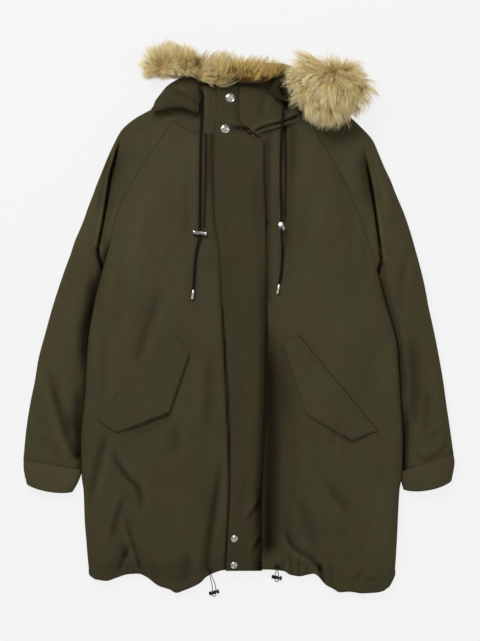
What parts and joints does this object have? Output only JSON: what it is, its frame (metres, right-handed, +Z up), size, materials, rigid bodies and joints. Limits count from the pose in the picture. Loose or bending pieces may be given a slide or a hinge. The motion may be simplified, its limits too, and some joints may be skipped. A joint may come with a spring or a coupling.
{
  "type": "fur trimmed parka",
  "caption": "Long hooded raglan parka laid flat with its front up: fur trimmed hood, snap placket, slanted pocket flaps, gathered hem, banded cuffs and locked cords.",
  "frame": {"origin": "on the underside of the back panel, at the middle of its width and about 476 mm above the hem's middle, on the surface that the parka lies on", "axes": "+X towards the wearer's left, +Y from the hem towards the hood, +Z up, out of the front"},
  "size_m": [0.8221, 1.0559, 0.103],
  "materials": {
    "shell_cloth": "dense matt cotton twill, olive",
    "fur": "long soft pile, blond with brown roots",
    "cord": "braided, near black",
    "silver_metal": "polished nickel plate",
    "dark_metal": "black nickel plate"
  },
  "bodies": {
    "root": {"front_right": "shell_cloth", "front_left": "shell_cloth", "back_panel": "shell_cloth", "sleeve_front_right": "shell_cloth", "sleeve_front_left": "shell_cloth", "sleeve_back_right": "shell_cloth", "sleeve_back_left": "shell_cloth", "cuff_right": "shell_cloth", "cuff_left": "shell_cloth", "collar_right": "shell_cloth", "collar_left": "shell_cloth", "placket": "shell_cloth", "pocket_flap_right": "shell_cloth", "pocket_flap_left": "shell_cloth", "hood_bag": "shell_cloth", "hood_side_right": "shell_cloth", "hood_side_left": "shell_cloth", "fur_right": "fur", "fur_middle": "fur", "fur_left": "fur", "snap_1": "silver_metal", "snap_2": "silver_metal", "snap_3": "silver_metal", "snap_4": "silver_metal", "hood_cord_right": "cord", "hood_cord_left": "cord", "hood_lock_right": "silver_metal", "hood_lock_left": "silver_metal", "aglet_right": "silver_metal", "aglet_left": "silver_metal", "hem_cord_right": "cord", "hem_cord_left": "cord", "hem_lock_right": "dark_metal", "hem_lock_left": "dark_metal", "hem_eyelet_right": "dark_metal", "hem_eyelet_left": "dark_metal"}
  },
  "joints": []
}
